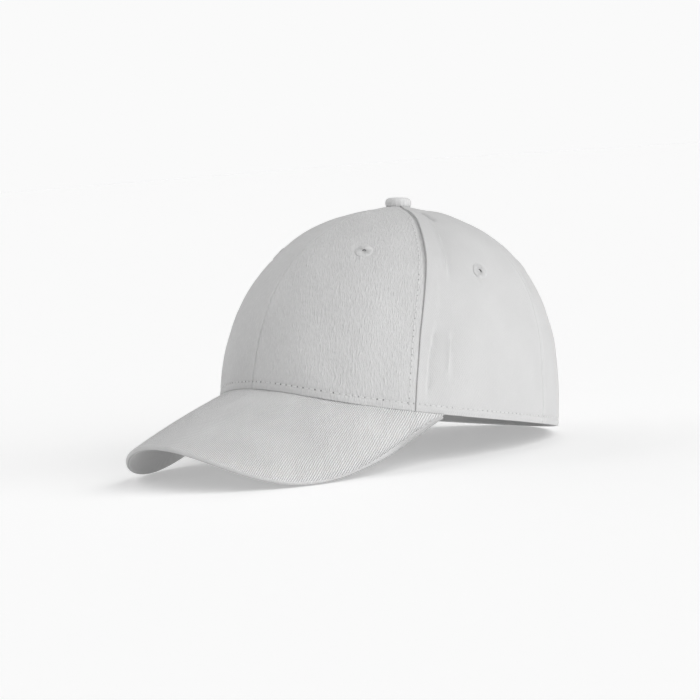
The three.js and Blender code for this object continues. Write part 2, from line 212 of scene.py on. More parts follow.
# Cloth is never quite even: slow waves, the same each time the script runs.
WAVE_COUNT, SHORTEST_WAVE, LONGEST_WAVE = 26, 14, 60
draws = np.random.default_rng(11)
wave_lengths = np.geomspace(SHORTEST_WAVE, LONGEST_WAVE, WAVE_COUNT)
wave_turns = unit(draws.normal(size=(WAVE_COUNT, 3))) * (2 * pi / wave_lengths)[:, None]
wave_starts = draws.uniform(0, 2 * pi, WAVE_COUNT)


def slack(points):
    """The unevenness of sewn cloth at places on the cap, mostly between -1 and 1."""
    waves = np.sin(points @ wave_turns.T + wave_starts)
    return waves @ (wave_lengths / np.linalg.norm(wave_lengths)) * 1.4


def cloth_piece(name, near, maps, far=None, holes=()):
    """A grid whose corners are moved to near[row, column] on the level cap. maps are directions of the
    cloth in metres, by name. Where the cloth's other face is given as far, the piece gets a wall."""
    rows, columns = near.shape[:2]
    bpy.ops.object.select_all(action="DESELECT")
    bpy.ops.mesh.primitive_grid_add(x_subdivisions=columns - 1, y_subdivisions=rows - 1, size=1)
    piece = bpy.context.active_object
    piece.name = piece.data.name = name
    mesh = piece.data
    flat = np.zeros(len(mesh.vertices) * 3)
    mesh.vertices.foreach_get("co", flat)
    column = np.rint((flat[0::3] + 0.5) * (columns - 1)).astype(int)
    line = np.rint((flat[1::3] + 0.5) * (rows - 1)).astype(int)
    mesh.vertices.foreach_set("co", at_rest(near)[line, column].ravel())
    corner = np.zeros(len(mesh.loops), int)
    mesh.loops.foreach_get("vertex_index", corner)
    mesh.uv_layers[0].name = "cloth"
    for title, values in maps.items():
        layer = mesh.uv_layers.get(title) or mesh.uv_layers.new(name=title)
        layer.data.foreach_set("uv", values[line, column][corner].ravel())
    if far is not None:
        for title, face in (("near_face", near), ("far_face", far)):
            stored = mesh.attributes.new(title, "FLOAT_VECTOR", "POINT")
            stored.data.foreach_set("vector", at_rest(face)[line, column].ravel())
    for place, radius in holes:
        centre = Vector(at_rest(place))
        bpy.context.tool_settings.mesh_select_mode = (False, False, True)
        for corner_point in mesh.vertices:
            corner_point.select = False
        for edge in mesh.edges:
            edge.select = False
        for face in mesh.polygons:
            face.select = (face.center - centre).length < radius * MM
        bpy.ops.object.mode_set(mode="EDIT")
        bpy.ops.mesh.delete(type="FACE")
        bpy.ops.object.mode_set(mode="OBJECT")
    if far is not None:
        give_wall(piece)
    bpy.ops.object.shade_smooth_by_angle(angle=radians(50))
    return piece


def give_wall(piece):
    """Solidify joins the two faces of the cloth, and then the far one is put in its own place."""
    bpy.ops.object.modifier_add(type="SOLIDIFY")
    wall = piece.modifiers[-1]
    wall.thickness = CLOTH * MM
    wall.offset = -1
    bpy.ops.object.modifier_apply(modifier=wall.name)
    mesh = piece.data
    count = len(mesh.vertices) * 3
    place, near, far = np.zeros(count), np.zeros(count), np.zeros(count)
    mesh.vertices.foreach_get("co", place)
    mesh.attributes["near_face"].data.foreach_get("vector", near)
    mesh.attributes["far_face"].data.foreach_get("vector", far)
    place, near, far = (values.reshape(-1, 3) for values in (place, near, far))
    moved = np.abs(place - near).max(1) > 1e-7
    place[moved] = far[moved]
    mesh.vertices.foreach_set("co", place.ravel())
    mesh.attributes.remove(mesh.attributes["near_face"])
    mesh.attributes.remove(mesh.attributes["far_face"])
    mesh.update()


# Columns and rows of a panel's grid lie closer together beside its seams.
SEAM_STEPS = np.array([0, 0.12, 0.3, 0.55, 0.85, 1.2, 1.6, 2, 2.4, 2.8, 3.2, 3.7, 4.3, 5, 5.8, 6.6, 7.4])
GRID_STEP = 1.35


def rows_up(phi, lengths):
    """The places down the crown at lengths along the cloth up from the rim."""
    down = np.linspace(1, 0.004, 3000)
    return np.interp(lengths, running_length(crown_point(phi, down)), down)


def length_up(phi):
    top = 2 / pi * np.arcsin((TOP_HOLE / RIM_BACK_LENGTH) ** (ROUND_BACK / 2))
    return running_length(crown_point(phi, np.linspace(1, top, 2000)))[-1]


def panel_rows(phi):
    tall = length_up(phi)
    count = int((tall - SEAM_STEPS[-1]) / GRID_STEP)
    return np.concatenate([SEAM_STEPS, np.linspace(SEAM_STEPS[-1], tall, count + 1)[1:]])


# Beside the side seam, by place down the crown: how wide its groove gapes, and how far behind it the side
# panel's raised band ends, at a ridge high up and more softly low down.
SIDE_SEAM_ROWS = [
    (0, 0.6, 1.5, 5), (0.08, 1.2, 3, 5), (0.14, 1.6, 5, 5), (0.2, 1.8, 7, 5), (0.25, 1.9, 8.4, 5),
    (0.3, 2, 9.7, 5), (0.36, 2.3, 10.3, 5), (0.42, 2.4, 11.1, 5.2), (0.48, 2.2, 11.6, 5.4),
    (0.54, 1.9, 12.2, 5.7), (0.59, 1.3, 12.8, 6.4), (0.65, 0.9, 13.4, 7.4), (0.7, 0.8, 14, 7.8),
    (0.75, 0.7, 14, 7.6), (0.79, 0.7, 14, 6.6), (0.84, 0.7, 14, 6), (0.88, 0.6, 14, 5.5), (1, 0.6, 14, 5.5)]


def beside_side_seam(down):
    downs, *columns = zip(*SIDE_SEAM_ROWS)
    return [np.interp(down, downs, column) for column in columns]


def rolled(distance, radius):
    """How far a cloth edge with that roundness falls away at a distance from it."""
    radius = radius + 0 * distance
    inside = np.clip(radius - distance, 0, radius)
    return radius - np.sqrt(radius**2 - inside**2)


def within(value, start, full, fading, end):
    """1 from full to fading, and 0 before start and after end."""
    return smooth(value, start, full) * (1 - smooth(value, fading, end))


def fold(distance, place, drop, recovery):
    """Cloth that drops at a place and comes back up slowly behind it."""
    fallen = smooth(distance, place - 0.6, place + 0.6)
    return -drop * fallen * np.exp(-np.maximum(distance - place, 0) / recovery)


def edge_form(kind, distance, down):
    """Height of the cloth beside a seam, and how far its edge is turned in."""
    groove, ridge, band_end = beside_side_seam(down)
    if kind == "under":
        sunk = (0.4 + 0.1 * groove) * (1 - smooth(distance, groove - 0.45, groove + 0.05))
        return 0.12 * bump(distance, groove + 2, 2), sunk
    if kind == "over":
        proud = 0.35 + 0.15 * groove
        fall = 1 - 0.75 * np.minimum(distance / ridge, 1)
        band = proud * fall * (1 - smooth(distance, ridge - 0.7, ridge + 0.7))
        ridge_form = 0.45 * bump(distance, ridge - 0.9, 0.9) + fold(distance, ridge, 2.3, 7)
        band += ridge_form * smooth(down, 0.03, 0.1)
        low = proud * (1 - 0.5 * smooth(distance, 0.5, band_end - 1))
        low = low * (1 - smooth(distance, band_end - 0.8, band_end + 1))
        crease = -1.6 * bump(distance, ridge + 5, 1.1) * within(down, 0.07, 0.1, 0.18, 0.23)
        return band + (low - band) * smooth(down, 0.5, 0.62) + crease, rolled(distance, 0.35)
    if kind == "slit":
        return 0 * distance, rolled(distance, 0.3 + 0.6 * smooth(down, 0.895, 0.91))
    return 0.22 * bump(distance, 2.2, 1.6), rolled(distance, 0.55)


# The row of stitches round the rim, as length along the cloth against the angle round the crown.
rim_angles = np.linspace(-pi, pi, 4001)
rim_row_length = running_length(crown_point(rim_angles, 1 - RIM_ROW / CROWN_LINE))
rim_row_length -= np.interp(0, rim_angles, rim_row_length)

# Where each panel's eyelet is: its angle round the crown and its place down it.
EYELETS = {"front": (radians(35.6), 0.467), "side": (radians(86.4), 0.548), "back": (radians(136.5), 0.48)}


def eyelet_pucker(side, off):
    """The cloth sinks round an eyelet, and a dent and a small pleat run down from it. off is how far a
    place on the cloth is from the eyelet, across and up."""
    across, below = off[..., 0], -off[..., 1]
    sunk = 0.28 * bump(np.linalg.norm(off, axis=-1), 4.7, 1.2)
    dent = 0.4 * bump(across, -side * (3.9 - 0.12 * below), 0.8) * within(below, -2, 2, 6, 15)
    pleat = 0.25 * bump(across, -side * 2.3, 0.9) * within(below, 3, 6, 8, 14)
    return pleat - sunk - dent


def hem_form(above):
    """The folded hem above the rim, with its row of stitches pulled in."""
    return 0.16 * bump(above, 1.9, 1.1) - 0.2 * bump(above, RIM_ROW, 0.7) + 0.08 * bump(above, 6, 1.5)


def panel_form(name, side, low_edge, high_edge, grain, eyelet, lengths, own_folds=None):
    """Everything that is known of a panel's cloth: edges are (angle at a place down, kind), the front one
    first, and side is 1 for the wearer's left. Angles grow towards the wearer's left."""
    down = rows_up(grain * side, lengths)[:, None]
    edges = [low_edge, high_edge] if side > 0 else [high_edge, low_edge]
    start, end = (side * edge[0](down[:, 0]) for edge in edges)
    samples = np.linspace(0, 1, 201)
    angles = start[:, None] + (end - start)[:, None] * samples
    across = running_length(crown_point(angles, down))
    width = across[:, -1:]
    near = np.minimum(1, width / (2.3 * SEAM_STEPS[-1])) * SEAM_STEPS
    middle_count = int((width.max() - 2 * SEAM_STEPS[-1]) / GRID_STEP)
    middle = near[:, -1:] + (width - 2 * near[:, -1:]) * np.linspace(0, 1, middle_count + 1)[1:-1]
    place = np.concatenate([near, middle, (width - near)[:, ::-1]], 1)
    phi = np.stack([np.interp(p, a, f) for p, a, f in zip(place, across, angles)])
    plain = crown_point(phi, down)
    above = running_length(plain.swapaxes(0, 1)).T
    grain_place = np.array([np.interp(grain * side, f, a) for a, f in zip(across, angles)])
    cloth = np.stack([place - grain_place[:, None], lengths[:, None] + 0 * place], -1)
    height = SLACK_DEPTH * slack(plain)
    turned_in = np.zeros_like(place)
    distances = [place, width - place]
    for (_, kind), distance in zip(edges, distances):
        lift, roll = edge_form(kind, distance, down)
        height += lift
        turned_in = np.maximum(turned_in, roll)
    from_button = np.hypot(plain[..., 0], plain[..., 1] + TOP_FORWARD)
    height += BUTTON_LIFT * (1 - smooth(from_button, 5, 17)) + hem_form(above)
    turned_in = np.maximum(turned_in, rolled(above, 0.35))
    angle, eyelet_down = eyelet
    at = [np.interp(angle * side, phi[k], cloth[k, :, 0]) for k in range(len(down))]
    eyelet_length = np.interp(eyelet_down, down[::-1, 0], lengths[::-1])
    eyelet_across = np.interp(eyelet_length, lengths, at)
    height += eyelet_pucker(side, cloth - np.array([eyelet_across, eyelet_length]))
    if own_folds is not None:
        height += own_folds(side, *distances[::side], above, down)
    normal = crown_normal(phi, down)
    edge_near = np.minimum(place, width - place)
    allowance = 0.5 * (1 - smooth(edge_near, 4.6, 5.4)) * smooth(width, 12, 24)
    return {
        "name": name, "side": side, "phi": phi, "down": down, "place": place, "width": width,
        "above": above, "cloth": cloth, "normal": normal,
        "eyelet_place": (side * angle, eyelet_down),
        "surface": plain + normal * height[..., None],
        "near": plain + normal * (height - turned_in)[..., None],
        "far": plain + normal * (height - np.maximum(CLOTH + allowance, turned_in + 0.25))[..., None],
    }


def side_folds(side, from_front, from_back, above, down):
    """Two soft upright folds low on the left side panel, with a narrow ridge between them."""
    if side < 0:
        return 0 * above
    recovery = np.interp(above, [8, 13, 20, 26], [0.8, 1.7, 2.6, 3.2])
    band_end = beside_side_seam(down)[2]
    first = fold(from_front, band_end + 0.4, 1.7, recovery) * within(above, 6, 14, 38, 46)
    ridge_place = 18.2 - 0.057 * above
    second = fold(from_front, ridge_place + 1.2, 1.0, 3) + 0.5 * bump(from_front, ridge_place, 0.9)
    return first + second * within(above, 14, 24, 38, 46)


panels = {}
for side, hand in ((1, "left"), (-1, "right")):
    panels["front_panel_" + hand] = panel_form(
        "front_panel_" + hand, side, (front_seam, "plain"), (side_seam, "under"), FRONT_GRAIN,
        EYELETS["front"], panel_rows(FRONT_GRAIN))
    panels["side_panel_" + hand] = panel_form(
        "side_panel_" + hand, side, (side_seam, "over"), (back_side_seam, "plain"), SIDE_GRAIN,
        EYELETS["side"], panel_rows(SIDE_GRAIN), side_folds)


class Finish:
    """One output in a material's nodes. Python maths on it adds the Math nodes that work it out."""

    def __init__(self, tree, socket=None):
        self.tree, self.socket = tree, socket

    def node(self, kind, settings=None, values=None, output=0):
        """Adds a node: its settings first, and then the values or links of its sockets."""
        made = self.tree.nodes.new(kind)
        for name, setting in (settings or {}).items():
            setattr(made, name, setting)
        for name, value in (values or {}).items():
            if isinstance(value, Finish):
                self.tree.links.new(value.socket, made.inputs[name])
            else:
                made.inputs[name].default_value = value
        return Finish(self.tree, made.outputs[output])

    def maths(self, operation, *values):
        return self.node("ShaderNodeMath", {"operation": operation}, dict(enumerate(values)))

    def __add__(self, other):
        return self.maths("ADD", self, other)

    def __radd__(self, other):
        return self.maths("ADD", other, self)

    def __sub__(self, other):
        return self.maths("SUBTRACT", self, other)

    def __rsub__(self, other):
        return self.maths("SUBTRACT", other, self)

    def __mul__(self, other):
        return self.maths("MULTIPLY", self, other)

    def __rmul__(self, other):
        return self.maths("MULTIPLY", other, self)

    def __truediv__(self, other):
        return self.maths("DIVIDE", self, other)

    def __rtruediv__(self, other):
        return self.maths("DIVIDE", other, self)

    def wave(self):
        """0 to 1 and back, once for each whole number."""
        return 0.5 + 0.5 * self.maths("SINE", self * (2 * pi))

    def hump(self, width):
        """1 where this is 0, fading out over a width to both sides."""
        share = self / width
        return self.maths("EXPONENT", 0 - share * share)

    def noise(self, across, up, detail=2.0, roughness=0.5):
        """Speckle from 0 to 1, with so many grains a metre across and up the cloth. This is its map."""
        factors = {0: self, 1: (across, up, up)}
        scaled = self.node("ShaderNodeVectorMath", {"operation": "MULTIPLY"}, factors)
        values = {"Vector": scaled, "Scale": 1.0, "Detail": detail, "Roughness": roughness}
        return self.node("ShaderNodeTexNoise", {"noise_dimensions": "3D"}, values)

    def parts(self):
        """The first two numbers of a map."""
        return [self.node("ShaderNodeSeparateXYZ", None, {0: self}, k) for k in (0, 1)]

    def ramp(self, low, high, start=0.0, end=1.0):
        """Goes from start to end as this goes from low to high, and stays there."""
        values = {"Value": self, "From Min": low, "From Max": high, "To Min": start, "To Max": end}
        return self.node("ShaderNodeMapRange", None, values)


def start_material(name):
    material = bpy.data.materials.new(name)
    material.use_nodes = True
    return material, Finish(material.node_tree), material.node_tree.nodes["Principled BSDF"]


def needle_holes(finish, rows):
    """Small holes where rows of stitches go through, with painted shade making them dark, some more open
    than others. A row is its map, its distance off along that map and how dark it is. Its holes are on
    whole pitches along the map."""
    holes = finish.node("ShaderNodeValue")
    for title, distance, strength in rows:
        place = finish.node("ShaderNodeUVMap", {"uv_map": title})
        along, off = place.parts()
        cell = finish.maths("FRACT", along / (STITCH_PITCH * MM) + 0.5) - 0.5
        open_ones = place.noise(170, 170, 1).ramp(0.38, 0.62, 0.25, 1.2)
        one = (cell * STITCH_PITCH).hump(0.34) * (off / MM - distance).hump(0.36) * strength * open_ones
        holes = finish.maths("MAXIMUM", holes, one)
    return holes


def twill_cloth(
        name, shade, wale, lean, streaks, weave_depth=1.0, stitch_rows=(), yarn_share=0.8,
        edge=False, groove=False):
    """Cotton twill: fine slanting wales, upright streaks of uneven yarn, and needle holes with painted
    shade in them. Cloth with an edge has a map of how far past it a place is, and is smoother underneath,
    where painted shade darkens it. Cloth with a groove has a map of how far inside it a place is, and
    painted shade darkens it there. Relief is in metres."""
    material, finish, shader = start_material(name)
    cloth = finish.node("ShaderNodeUVMap", {"uv_map": "cloth"})
    across, up = cloth.parts()
    wander = cloth.noise(160, 160, 2) - 0.5
    slant = (across * cos(lean) + up * sin(lean)) / (wale * MM) + wander * 0.9
    yarns = (up * cos(lean) - across * sin(lean)) / (wale * MM * yarn_share) + wander * 0.7
    weave = slant.wave() * (0.55 + 0.45 * yarns.wave())
    patches = finish.maths("SMOOTH_MIN", cloth.noise(60, 60, 2), 1.0)
    weave = weave * (0.5 + patches) * weave_depth
    streak = cloth.noise(1700, 400, 3, 0.6)
    slub = finish.maths("POWER", cloth.noise(1000, 250, 1), 3.0)
    blotch = cloth.noise(40, 30, 2)
    fuzz = cloth.noise(2600, 2600, 1)
    tone = 0.5 + (blotch - 0.5) * 0.3 + (fuzz - 0.5) * 0.25
    # Painted shade: the lower half of the edge and the underside of the brim are darkened, and a dark seam
    # line is drawn where top and under cloth meet.
    if edge:
        past = finish.node("ShaderNodeUVMap", {"uv_map": "edge"}).parts()[1] / MM
        weave = weave * past.ramp(-0.3, 0.8, 1, 0.1)
        tone = tone - past.ramp(0.4, 3.2, 0, 0.55) - (past - 3.2).hump(0.4) * 0.4
    tone = tone + (weave - 0.4 * weave_depth) * 0.22
    tone = tone + ((streak - 0.5) * 0.5 + (slub - 0.12) * 0.4) * streaks
    height = weave * 0.00011 + fuzz * 0.00004 + (streak * 0.00045 + slub * 0.0005) * streaks
    if stitch_rows:
        holes = needle_holes(finish, stitch_rows)
        # Painted shade: the needle holes are darkened in the cloth's colour.
        tone = tone - holes * 2.3
        height = height - holes * 0.0003
    # Painted shade: the cloth inside the side seam's groove is darkened where the proud edge of the side
    # panel shades it.
    if groove:
        inside = finish.node("ShaderNodeUVMap", {"uv_map": "groove"}).parts()[1] / MM
        tone = tone - inside.ramp(-0.3, 0.2, 0, 0.45)
    low, high = ([value * s for value in shade] for s in (0.8, 1.2))
    tone = finish.node("ShaderNodeClamp", None, {"Value": tone, "Min": -1.6, "Max": 1.0})
    colour = finish.node(
        "ShaderNodeMix", {"data_type": "RGBA", "clamp_factor": False},
        {0: tone, 6: (*low, 1), 7: (*high, 1)}, 2)
    relief = finish.node("ShaderNodeBump", None, {"Height": height, "Distance": 1.0, "Strength": 1.0})
    finish.tree.links.new(colour.socket, shader.inputs["Base Color"])
    finish.tree.links.new(relief.socket, shader.inputs["Normal"])
    shader.inputs["Roughness"].default_value = 0.92
    shader.inputs["Specular IOR Level"].default_value = 0.2
    shader.inputs["Sheen Weight"].default_value = 0.15
    shader.inputs["Sheen Roughness"].default_value = 0.5
    return material


# Painted light: the front panels' twill is a little lighter than the same twill on the other panels, to
# brighten them.
FRONT_SHADE, CROWN_SHADE = (0.68, 0.68, 0.68), (0.66, 0.66, 0.66)
front_twill = twill_cloth(
    "front_panel_twill", FRONT_SHADE, 0.95, radians(28), 1.1, 0.25,
    [("rim", RIM_ROW, 1.0), ("seam", SEAM_ROW, 0.5)], groove=True)
side_twill = twill_cloth(
    "side_panel_twill", CROWN_SHADE, 0.95, radians(28), 0.2, 0.65, [("rim", RIM_ROW, 0.45)])


def panel_maps(form, seam_distance=None):
    """The maps of a panel: its cloth, the rim, and the seam that has a row of stitches."""
    maps = {"cloth": form["cloth"] * MM}
    beside = np.array([np.interp(RIM_ROW, a, p) for a, p in zip(form["above"].T, form["phi"].T)])
    along = np.interp(beside, rim_angles, rim_row_length)
    maps["rim"] = np.stack([along + 0 * form["above"], form["above"]], -1) * MM
    if seam_distance is not None:
        row = line_beside(form, seam_distance, SEAM_ROW)[0]
        maps["seam"] = np.stack([running_length(row)[:, None] + 0 * seam_distance, seam_distance], -1) * MM
        # The groove map tells the front twill where it paints shade inside the groove.
        inside = beside_side_seam(form["down"])[0] - seam_distance
        maps["groove"] = np.stack([0 * inside, inside], -1) * MM
    return maps


def line_beside(form, distance, wanted):
    """The line on a panel's face at a distance from one of its seams, with its outward directions."""
    found = []
    for k in range(len(distance)):
        order = np.argsort(distance[k])
        near_to = np.minimum(wanted, distance[k].max() / 2)
        found.append([
            np.interp(near_to, distance[k][order], form[which][k][order, axis])
            for which in ("surface", "normal") for axis in range(3)])
    found = np.array(found)
    return found[:, :3], unit(found[:, 3:])


def sew_panel(form, material, seam_distance=None):
    eyelet_hole = (crown_point(*form["eyelet_place"]), EYELET_CUT)
    maps = panel_maps(form, seam_distance)
    piece = cloth_piece(form["name"] + "_cloth", form["near"], maps, form["far"], [eyelet_hole])
    piece.data.materials.append(material)
    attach(piece, "root")
    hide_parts(form["name"])


def to_side_seam(form):
    """Distance over a front panel's face to its seam with the side panel."""
    return form["width"] - form["place"] if form["side"] > 0 else form["place"]


for hand in ("left", "right"):
    front = panels["front_panel_" + hand]
    sew_panel(front, front_twill, to_side_seam(front))
    sew_panel(panels["side_panel_" + hand], side_twill)


# Back panels: two pieces of the same twill, sewn to the side panels and, below the slit, to each other.
# Their edges along the slit go inside the bindings, and up to the button they meet under a narrow strip.
BACK_GRAIN = radians(146)
SLIT_START, SLIT_WIDTH, TOP_STRIP = 18, 17, 39
WIDE_BINDING, NARROW_BINDING = 6.2, 2.2
# Height up the slit, its left and right edges as shares of its width, and the widths of the two bindings
# as shares of their own.
LEFT_EDGE, RIGHT_EDGE, WIDE_SHARE, NARROW_SHARE = 1, 2, 3, 4
SLIT_ROWS = np.array([
    (0, 0, 0, 1.1, 1), (0.05, 0.13, 0.1, 1.07, 1), (0.15, 0.35, 0.25, 1, 1), (0.26, 0.48, 0.35, 1, 1),
    (0.38, 0.54, 0.42, 1, 1), (0.53, 0.53, 0.47, 1, 1), (0.65, 0.48, 0.44, 1, 1),
    (0.84, 0.31, 0.18, 0.87, 0.8), (0.93, 0.21, 0.02, 0.83, 0.5), (1, 0.15, -0.14, 0.8, 0.3)])

back_downs = np.linspace(1, 0, 4001)
back_lengths = running_length(crown_point(pi, back_downs))
slit_length = back_lengths[-1] - SLIT_START - TOP_STRIP


def up_slit(down):
    """How far up the slit a place on the crown is: 0 at its foot, 1 at its top."""
    return (np.interp(-down, -back_downs, back_lengths) - SLIT_START) / slit_length


def slit_value(column, up):
    """A smooth curve through one column of the slit's table."""
    ups, values = SLIT_ROWS[:, 0], SLIT_ROWS[:, column]
    slopes = np.gradient(values, ups)
    slopes[1:-1] = (values[2:] - values[:-2]) / (ups[2:] - ups[:-2])
    k = np.clip(np.searchsorted(ups, up, side="right") - 1, 0, len(ups) - 2)
    span = ups[k + 1] - ups[k]
    t = np.clip((up - ups[k]) / span, 0, 1)
    start = (2 * t**3 - 3 * t**2 + 1) * values[k] + (t**3 - 2 * t**2 + t) * span * slopes[k]
    return start + (3 * t**2 - 2 * t**3) * values[k + 1] + (t**3 - t**2) * span * slopes[k + 1]


def opening(side, up):
    """How far the slit reaches from the middle of the back towards one side."""
    return SLIT_WIDTH * slit_value(LEFT_EDGE if side > 0 else RIGHT_EDGE, up)


def binding_width(side, up):
    if side > 0:
        return np.maximum(NARROW_BINDING * slit_value(NARROW_SHARE, up), 0.3)
    return WIDE_BINDING * slit_value(WIDE_SHARE, up)


def back_angle(x, down):
    return pi - np.arcsin(np.clip(x / (RIM_HALF_WIDTH * reach_share(pi, down)), -1, 1))


def slit_edge(side):
    """The panel's edge beside the slit, a little inside its binding, as an angle at places down."""
    def edge(down):
        up = up_slit(down)
        beside = 0.02 + (np.maximum(opening(side, up), -0.3) + 0.35) * smooth(up, -0.004, 0.004)
        return back_angle(beside + (0.02 - beside) * smooth(up, 0.99, 1.03), down)
    return edge


def beside_binding(side, from_front, from_slit, above, down):
    """The cloth dips where a binding's edge is stitched to it, and low down it steps in at the hem."""
    up = up_slit(down)
    dip = from_slit - binding_width(side, up) + 0.4
    beside = 0.2 * bump(dip, 2.4, 1.6) - 0.7 * bump(dip, 0.2, 0.55)
    reach = 16 if side > 0 else 8
    hem = 0.55 * within(above, 13.4, 14.4, 14.4, 22) * (1 - smooth(from_slit, 0.7 * reach, reach))
    return beside * within(up, -0.01, 0.01, 0.98, 1) + hem


for side, hand in ((1, "left"), (-1, "right")):
    panels["back_panel_" + hand] = panel_form(
        "back_panel_" + hand, side, (back_side_seam, "plain"), (slit_edge(side), "slit"), BACK_GRAIN,
        EYELETS["back"], panel_rows(BACK_GRAIN), beside_binding)
    sew_panel(panels["back_panel_" + hand], side_twill)


# Slit bindings: strips of the same twill folded over the panels' edges and stitched down. The wide one is
# on the wearer's right, is cut square at its foot, and runs on as a narrow strip to the button.
BINDING_PROUD, BINDING_DEPTH, BINDING_OVERHANG = 0.5, 1.9, 0.15
STRIP_HALF, STRIP_TAPER = 2.45, 0.33
BINDING_SHADE = (0.67, 0.67, 0.67)
binding_twill = twill_cloth("binding_twill", BINDING_SHADE, 0.85, radians(58), 0.2)


def folded_strip(x_outer, x_open, down):
    """A strip folded over an edge, as a closed loop of points at each place up it, and its map."""
    width = np.abs(x_open - x_outer)
    turn = np.sign(x_open - x_outer)
    half = (BINDING_DEPTH + BINDING_PROUD) / 2
    bend = np.minimum(half, 0.45 * width)
    near_edge = np.array([0.0, 0.1, 0.3, 0.6])[:, None]
    flat = near_edge[-1] + (width - bend - near_edge[-1]) * np.linspace(0, 1, 9)[1:, None]
    angles = np.linspace(pi / 2, -pi / 2, 9)[1:-1, None]
    bend_off = width - bend + bend * np.cos(angles)
    bend_depth = (BINDING_DEPTH - BINDING_PROUD) / 2 - half * np.sin(angles) + 0 * width
    outside = np.concatenate([near_edge + 0 * width, flat])
    outside_depth = rolled(outside, 0.35) - BINDING_PROUD + 0.1 * bump(outside, 1.0, 0.5)
    inside = outside[::-1]
    inside_depth = BINDING_DEPTH - rolled(inside, 0.35)
    off = np.concatenate([outside, bend_off, inside, outside[:1]])
    depth = np.concatenate([outside_depth, bend_depth, inside_depth, outside_depth[:1]])
    phi = back_angle(x_outer + turn * off, down)
    points = crown_point(phi, down)
    height = SLACK_DEPTH * slack(points)
    points = points + crown_normal(phi, down) * (height - depth)[..., None]
    around = running_length(points.swapaxes(0, 1))
    along = running_length(points[0])[None] + 0 * around.T
    return points.swapaxes(0, 1), np.stack([around, along.T], -1)


def close_up(piece):
    """Joins the meeting edges of a grid that was bent round, closes its ends and turns it outwards."""
    bpy.context.view_layer.objects.active = piece
    bpy.ops.object.mode_set(mode="EDIT")
    bpy.ops.mesh.select_all(action="SELECT")
    bpy.ops.mesh.remove_doubles(threshold=1e-6)
    bpy.ops.mesh.fill_holes(sides=0)
    bpy.ops.mesh.normals_make_consistent(inside=False)
    bpy.ops.object.mode_set(mode="OBJECT")
    bpy.ops.object.shade_smooth_by_angle(angle=radians(50))


def down_at(length):
    return np.interp(length, back_lengths, back_downs)


def sew_binding(hand, x_outer, x_open, down):
    points, loop_map = folded_strip(x_outer, x_open, down)
    piece = cloth_piece("slit_binding_" + hand + "_tape", points, {"cloth": loop_map * MM})
    close_up(piece)
    piece.data.materials.append(binding_twill)
    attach(piece, "root")
    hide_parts("slit_binding_" + hand)


lengths = np.concatenate([[0, 0.12, 0.3], np.arange(0.9, slit_length, 1.2), [slit_length]]) + SLIT_START
down = down_at(lengths)
up = up_slit(down)
left = opening(1, up)
sew_binding("left", left + binding_width(1, up), left - BINDING_OVERHANG, down)

top_lengths = np.linspace(slit_length + SLIT_START, back_lengths[-1] - TOP_HOLE + 1, 32)[1:]
down = down_at(np.concatenate([lengths, top_lengths]))
up = up_slit(down)
right = -opening(-1, up)
half = np.minimum(STRIP_HALF, STRIP_TAPER * RIM_HALF_WIDTH * reach_share(pi, down))
to_strip = smooth(up, 0.985, 1.015)
x_outer = (right - binding_width(-1, up)) * (1 - to_strip) - half * to_strip
x_open = (right + BINDING_OVERHANG) * (1 - to_strip) + half * to_strip
sew_binding("right", x_outer, x_open, down)


# Stitches: white polyester thread. One row runs all round the rim, one down each front panel beside the
# side seam and one along each binding, and a bar of close stitches locks the foot of the slit.
THREAD_RADIUS, THREAD_SHARE, BINDING_ROW = 0.26, 0.84, 1.15
BAR_WIDTH, BAR_HEIGHT, BAR_THREADS = 5.2, 2.6, 9
NARROWEST_SEWN, THREAD_SHADE = 12, (0.77, 0.77, 0.77, 1)
thread_material, _, thread_shader = start_material("sewing_thread")
thread_shader.inputs["Base Color"].default_value = THREAD_SHADE
thread_shader.inputs["Roughness"].default_value = 0.6
thread_shader.inputs["Sheen Weight"].default_value = 0.2


def threads(name, starts, ends, outwards):
    """Stitches from starts to ends, as one mesh of copies of a small stretched ball."""
    bpy.ops.object.select_all(action="DESELECT")
    bpy.ops.mesh.primitive_uv_sphere_add(segments=6, ring_count=6, radius=1)
    piece = bpy.context.active_object
    ball = np.array([corner.co for corner in piece.data.vertices])
    faces = [list(face.vertices) for face in piece.data.polygons]
    along = (ends - starts) / 2
    beside = unit(np.cross(outwards, along)) * THREAD_RADIUS
    out = unit(np.cross(along, beside)) * THREAD_RADIUS
    frames = np.stack([beside, out, along], 1)
    places = at_rest((starts + ends) / 2 + outwards * 0.04)[:, None]
    turned = at_rest(frames) - at_rest(np.zeros(3))
    points = places + np.einsum("bk,nkc->nbc", ball, turned)
    mesh = bpy.data.meshes.new(name)
    copies = [[corner + k * len(ball) for corner in face] for k in range(len(starts)) for face in faces]
    mesh.from_pydata(points.reshape(-1, 3).tolist(), [], copies)
    piece.data = mesh
    piece.name = name
    bpy.ops.object.shade_smooth_by_angle(angle=radians(80))
    mesh.materials.append(thread_material)
    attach(piece, "root")


def row_of_stitches(along, points, outwards, first, last):
    """Where the threads of a row start and end: its needle holes are on whole pitches along the row."""
    holes = np.arange(np.ceil(first / STITCH_PITCH), np.floor(last / STITCH_PITCH) + 1) * STITCH_PITCH
    slack_end = STITCH_PITCH * (1 - THREAD_SHARE) / 2
    at = [holes[:-1] + slack_end, holes[1:] - slack_end, (holes[:-1] + holes[1:]) / 2]
    lines = [points, points, outwards]
    return [
        np.stack([np.interp(place, along, line[:, axis]) for axis in range(3)], -1)
        for place, line in zip(at, lines)]


